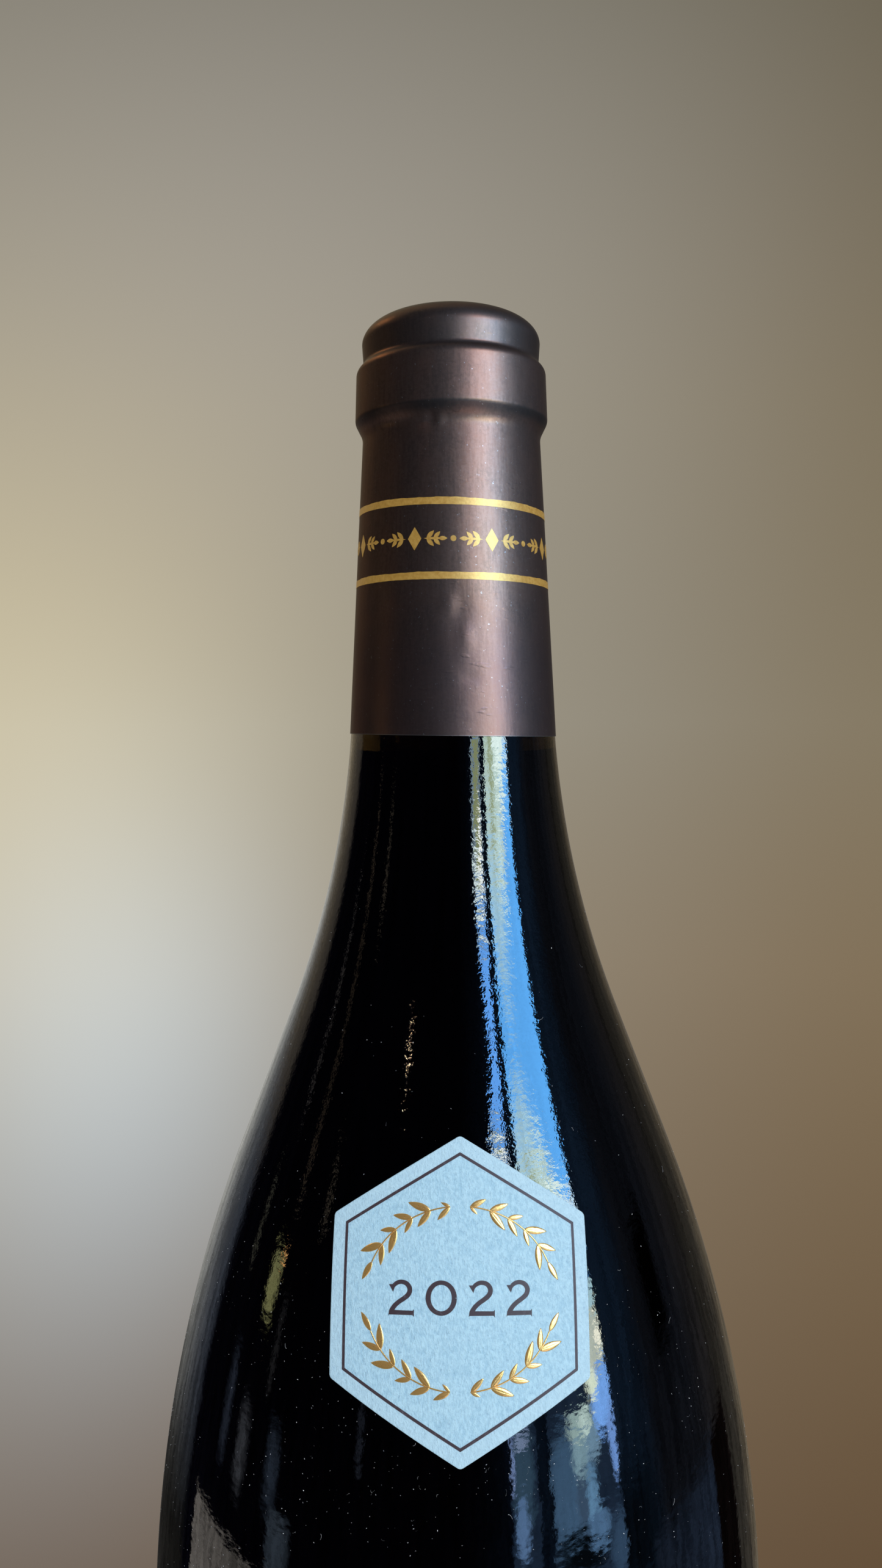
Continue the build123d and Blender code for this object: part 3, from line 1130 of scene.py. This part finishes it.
room_level = 0.7
backdrop_shades = [  # from straight down to straight up
    (0.2, (0.14, 0.093, 0.056)),
    (0.29, (0.2, 0.15, 0.1)),
    (0.4, (0.262, 0.214, 0.153)),
    (0.5, (0.27, 0.242, 0.185)),
    (0.625, (0.21, 0.183, 0.121)),
    (0.775, (0.11, 0.098, 0.057)),
]
wall_glows = [  # side, its reach, height, its reach, and colour, on a dun wall
    (-0.15, 0.32, 0.37, 0.21, (0.155, 0.15, 0.16)),
    (-0.26, 0.12, -0.27, 0.155, (0.175, 0.265, 0.36)),
    (-0.37, 0.19, -0.03, 0.21, (0.285, 0.24, 0.13)),
]
room_things = [  # turn and rise in degrees, half sizes, softness, and colour
    (-83.0, 12.5, 0.5, 4.5, 0.7, (0.45, 0.34, 0.24)),
    (-97.0, 11.0, 0.4, 2.0, 0.6, (0.4, 0.36, 0.34)),
    (-66.5, 12.0, 0.5, 2.2, 0.7, (0.6, 0.5, 0.38)),
    (-31.9, 25.2, 0.45, 0.4, 0.2, (52.0, 41.0, 27.0)),
    (-84.2, 2.4, 0.9, 0.6, 0.4, (8.5, 4.3, 1.5)),
    (-86.8, -1.0, 2.8, 2.8, 1.2, (1.95, 1.95, 0.85)),
    (-103.5, -0.5, 0.5, 3.5, 0.9, (0.45, 0.45, 0.34)),
    (-78.0, -4.5, 0.7, 4.0, 1.2, (0.16, 0.16, 0.17)),
    (-72.0, -14.5, 2.4, 3.2, 2.2, (0.22, 0.3, 0.45)),
    (-88.0, -16.0, 2.2, 3.0, 2.0, (0.28, 0.3, 0.35)),
    (-99.0, -14.5, 1.6, 4.0, 2.0, (0.16, 0.2, 0.3)),
    (-36.5, -5.0, 0.8, 4.0, 1.2, (0.16, 0.19, 0.27)),
    (-86.0, -27.9, 27.0, 3.9, 0.5, (0.6, 0.55, 0.5)),
    (-66.5, -23.2, 4.8, 5.2, 1.2, (0.27, 0.36, 0.48)),
    (92.0, -2.5, 5.3, 5.8, 2.0, (0.001, 0.001, 0.002)),
    (66.0, -19.0, 9.0, 6.0, 4.0, (0.02, 0.04, 0.07)),
    (93.0, -26.0, 20.0, 5.0, 2.0, (0.085, 0.13, 0.23)),
    (117.5, -31.5, 8.0, 11.0, 0.8, (0.012, 0.008, 0.008)),
    (-121.0, 41.0, 6.0, 4.0, 3.0, (11.0, 7.4, 3.8)),
    (34.0, -39.0, 17.0, 13.0, 2.0, (2.3, 2.0, 2.0)),
]


def surround():
    """Backdrop and room, by direction: seen, in gloss and through glass; even for plain light."""
    world = bpy.data.worlds.new("studio")
    paths = emptied(world).node("ShaderNodeLightPath", output="Is Camera Ray")
    seen = paths.math("MAXIMUM", paths.other("Is Transmission Ray"))
    gloss = paths.other("Is Glossy Ray")
    direction = paths.node("ShaderNodeTexCoord", output="Generated")
    side, back, up = direction.parts()
    wall = paths.node("ShaderNodeValToRGB", {"Fac": up * 0.5 + 0.5}, stops=backdrop_shades)
    facing = back.smooth(0.0, 0.4)
    backdrop = side.smooth(0.08, 0.38).blend(wall, (0.84, 0.765, 0.645), "MULTIPLY")
    for beside, width, level, height, colour in wall_glows:
        across = (side - beside) / width
        along = (up - level) / height
        glow = (-0.5 * (across * across + along * along)).math("EXPONENT") * facing
        backdrop = glow.blend(backdrop, colour, "ADD")
    turn = side.math("ARCTAN2", back * -1) * degrees(1)
    rise = up.math("ARCSINE") * degrees(1)
    upper_left = turn.smooth(-119.0, -156.0).blend((0.19, 0.165, 0.14), (0.4, 0.33, 0.22))
    upper_left = rise.smooth(12.0, 36.0).blend(upper_left, (0.75, 0.72, 0.5))
    left_wall = turn.smooth(-119.0, -162.0).blend((0.13, 0.155, 0.21), (0.6, 0.6, 0.56))
    left_wall = rise.smooth(-14.0, -31.0).blend(left_wall, (0.025, 0.024, 0.022))
    left_wall = rise.smooth(-6.0, 2.0).blend(left_wall, upper_left)
    right_wall = turn.smooth(114.0, 132.0).blend((0.045, 0.044, 0.044), (0.085, 0.076, 0.062))
    right_wall = turn.smooth(134.0, 153.0).blend(right_wall, (0.165, 0.135, 0.094))
    lit_wall = side.smooth(-0.5, 0.5).blend(left_wall, right_wall)
    right_side = turn.smooth(68.0, 82.0).blend((0.07, 0.15, 0.3), (0.044, 0.052, 0.075))
    right_side = turn.smooth(98.0, 122.0).blend(right_side, (0.085, 0.078, 0.078))
    front = turn.smooth(0.0, 60.0).blend((0.006, 0.006, 0.013), right_side)
    room = turn.math("ABSOLUTE").smooth(118.0, 123.0).blend(front, lit_wall)
    for at, height, half_width, half_height, soft, colour in room_things:
        across = (turn - at).math("ABSOLUTE").smooth(half_width + soft, half_width - soft)
        along = (rise - height).math("ABSOLUTE").smooth(half_height + soft, half_height - soft)
        room = (across * along).blend(room, colour)
    streaks = direction.stretched(1, 1, 0.05).noise(30, 3.0, 0.7)
    room = room.brightened(streaks.smooth(0.3, 0.7) * 0.9 + 0.55)
    room = rise.smooth(-52.0, -60.0).blend(room, (0.01, 0.01, 0.012))
    shown = gloss.blend(backdrop, room)
    plain = seen.math("MAXIMUM", gloss).blend((room_level,) * 3, shown)
    sky = paths.node("ShaderNodeBackground", {"Color": plain, "Strength": 1.0})
    sky.ends("ShaderNodeOutputWorld")
    return world


studio = surround()
studio.cycles.sampling_method = "NONE"
bpy.context.scene.world = studio

lamp_aim = Vector((0.0, 0.0, 0.2))
lamp_turn = radians(36)
lamp_rise = radians(25)
lamp_distance = 1.3
lamp = bpy.data.lights.new("window_light", "AREA")
lamp.shape = "RECTANGLE"
lamp.size = 0.8
lamp.size_y = 1.3
lamp.energy = 8.5
lamp.color = (0.93, 0.97, 1.0)
window_light = new_object("window_light", lamp)
window_light.location = lamp_aim + lamp_distance * Vector((
    sin(lamp_turn) * cos(lamp_rise), -cos(lamp_turn) * cos(lamp_rise), sin(lamp_rise)
))
towards_lamp = window_light.location - lamp_aim
window_light.rotation_euler = towards_lamp.to_track_quat("Z", "Y").to_euler()
window_light.visible_glossy = False
window_light.visible_camera = False
window_light.visible_transmission = False

window_distance = 0.55
window_foot = -0.1
window_top = 0.66
window_strength = 22.0
left_pane = (17.6, 27.2)  # turns to the right of the camera's side, in degrees
right_pane = (31.8, 58.1)
garden = [  # turn and height, half sizes, squareness and colour, from the back
    (42.0, 0.6, 40.0, 0.34, 4, (0.105, 0.4, 0.88)),
    (22.0, 0.6, 8.0, 0.3, 4, (0.12, 0.37, 0.9)),
    (37.5, 0.3, 9.5, 0.1, 2, (0.34, 0.56, 0.7)),
    (43.5, 0.345, 4.5, 0.016, 2, (0.55, 0.78, 0.86)),
    (38.0, 0.27, 13.0, 0.08, 3, (0.44, 0.58, 0.53)),
    (39.0, 0.3, 2.4, 0.045, 2, (0.3, 0.37, 0.24)),
    (35.0, 0.25, 3.0, 0.05, 2, (0.36, 0.46, 0.35)),
    (48.0, 0.29, 7.0, 0.032, 2, (0.74, 0.9, 0.86)),
    (57.0, 0.285, 3.0, 0.024, 2, (0.5, 0.68, 0.82)),
    (21.0, 0.33, 6.5, 0.062, 4, (0.15, 0.21, 0.26)),
    (22.5, 0.32, 3.0, 0.04, 3, (0.2, 0.23, 0.12)),
    (22.0, 0.369, 5.0, 0.01, 2, (0.72, 0.84, 0.86)),
    (24.5, 0.358, 1.8, 0.016, 2, (0.9, 0.93, 0.9)),
    (22.0, 0.07, 3.6, 0.045, 3, (0.024, 0.05, 0.08)),
    (21.3, 0.015, 2.0, 0.03, 2, (0.075, 0.14, 0.26)),
    (22.0, 0.106, 2.2, 0.008, 2, (0.14, 0.19, 0.3)),
    (17.6, 0.085, 1.3, 0.026, 2, (0.13, 0.19, 0.35)),
    (39.5, 0.035, 7.6, 0.058, 3, (0.038, 0.08, 0.14)),
    (43.0, 0.022, 2.2, 0.028, 2, (0.034, 0.062, 0.105)),
    (46.5, 0.012, 1.8, 0.036, 2, (0.09, 0.19, 0.31)),
    (43.2, 0.07, 2.8, 0.022, 2, (0.16, 0.26, 0.31)),
    (48.6, 0.078, 2.4, 0.02, 2, (0.125, 0.215, 0.3)),
    (44.0, 0.098, 4.6, 0.013, 3, (0.24, 0.34, 0.33)),
    (46.0, 0.095, 1.9, 0.012, 2, (0.38, 0.5, 0.47)),
    (42.0, -0.032, 9.0, 0.02, 2, (0.001, 0.002, 0.003)),
    (48.2, -0.012, 3.6, 0.017, 2, (0.058, 0.12, 0.215)),
    (56.0, -0.04, 3.5, 0.028, 2, (0.023, 0.047, 0.086)),
    (54.8, 0.106, 4.6, 0.032, 3, (0.157, 0.34, 0.74)),
    (57.3, 0.06, 1.7, 0.032, 2, (0.12, 0.23, 0.5)),
    (55.0, 0.17, 5.0, 0.032, 4, (0.4, 0.45, 0.39)),
    (56.4, 0.162, 1.5, 0.013, 2, (0.8, 0.8, 0.66)),
    (51.0, 0.126, 2.2, 0.015, 2, (0.6, 0.69, 0.55)),
    (56.2, 0.205, 2.2, 0.016, 2, (0.32, 0.5, 0.56)),
]


def window_material():
    """Panes with soft edges, clear beside them: sky over a hazy garden, and dim ground below."""
    made = bpy.data.materials.new("window")
    place = emptied(made).node("ShaderNodeTexCoord", output="Object")
    side, back, true_height = place.parts()
    true_turn = side.math("ARCTAN2", back * -1) * degrees(1)
    streaks = place.stretched(1, 1, 0.12).noise(70, 3.0, 0.65) - 0.5
    blots = place.noise(22, 3.0, 0.6) - 0.5
    fine = place.noise(90, 3.0, 0.65) - 0.5
    unrest = true_height.smooth(0.2, 0.32) * 0.75 + 0.25
    turn = true_turn + (blots * 3.0 + fine * 1.2) * unrest
    height = true_height + (blots * 0.03 + fine * 0.016 + streaks * 0.05) * unrest
    shown = blots.smooth(-0.3, 0.3).blend((0.006, 0.012, 0.024), (0.011, 0.02, 0.038))
    for at, level, half_width, half_height, squareness, colour in garden:
        across = ((turn - at) / half_width).math("ABSOLUTE").math("POWER", squareness)
        along = ((height - level) / half_height).math("ABSOLUTE").math("POWER", squareness)
        soft = (2.4, 0.1) if level < 0.15 else (1.6, 0.5)
        shown = (across + along).smooth(*soft).blend(shown, colour)
    shown = shown.brightened(streaks * 0.67 + fine * 0.28 + 1.0)
    haze = true_turn.smooth(28.0, 50.0).blend((0.6, 0.49, 0.46), (0.4, 0.49, 0.6))
    shown = true_height.smooth(0.45, 0.5).blend(shown, haze)
    edge = true_turn + fine * 0.3
    left_edge = edge - true_height.smooth(0.37, 0.46) * 6.5
    first = left_edge.smooth(left_pane[0] - 0.5, left_pane[0] + 0.5)
    first = first * edge.smooth(left_pane[1] + 0.4, left_pane[1] - 0.4)
    second = edge.smooth(right_pane[0] - 0.4, right_pane[0] + 0.4)
    second = second * edge.smooth(right_pane[1] + 0.6, right_pane[1] - 0.6)
    panes = (first + second) * true_height.smooth(window_top, window_top - 0.06)
    glow = place.node("ShaderNodeEmission", {"Color": shown, "Strength": window_strength})
    beside = place.node("ShaderNodeBsdfTransparent")
    glass = place.node("ShaderNodeMixShader", {0: panes, 1: beside, 2: glow})
    glass.ends("ShaderNodeOutputMaterial")
    return made


window_margin = 1.5  # degrees of clear mesh beside the panes
window_corners = [
    (window_distance * sin(turn), -window_distance * cos(turn), height)
    for turn in np.radians(
        np.linspace(left_pane[0] - window_margin, right_pane[1] + window_margin, 15)
    )
    for height in (window_foot, window_top)
]
window_strips = [(k, k + 1, k + 3, k + 2) for k in range(0, len(window_corners) - 2, 2)]
window_mesh = bpy.data.meshes.new("window")
window_mesh.from_pydata(window_corners, [], window_strips)
window_mesh.materials.append(window_material())
window = new_object("window", window_mesh)
window.visible_camera = False
window.visible_diffuse = False
window.visible_transmission = False
window.visible_shadow = False


# The camera stands close in front of the neck, level with its foot, and looks down a little.
# Its lens is wide, and takes in the bottle from the lip down over the shoulder.

camera_distance = 0.1764
camera_turn = radians(-0.9)
camera_height = 0.23517
look_right = radians(0.311)
look_down = radians(2.947)
camera_lean = radians(0.323)
lens = bpy.data.cameras.new("camera")
lens.lens = 27.03
lens.clip_start = 0.005
camera = new_object("camera", lens)
across, back = camera_distance * sin(camera_turn), camera_distance * cos(camera_turn)
camera.matrix_world = (
    Matrix.Translation((across, -back, camera_height))
    @ Matrix.Rotation(-look_right, 4, "Z")
    @ Matrix.Rotation(pi / 2 - look_down, 4, "X")
    @ Matrix.Rotation(-camera_lean, 4, "Z")
)
bpy.context.scene.camera = camera
bpy.context.scene.view_settings.view_transform = "Standard"
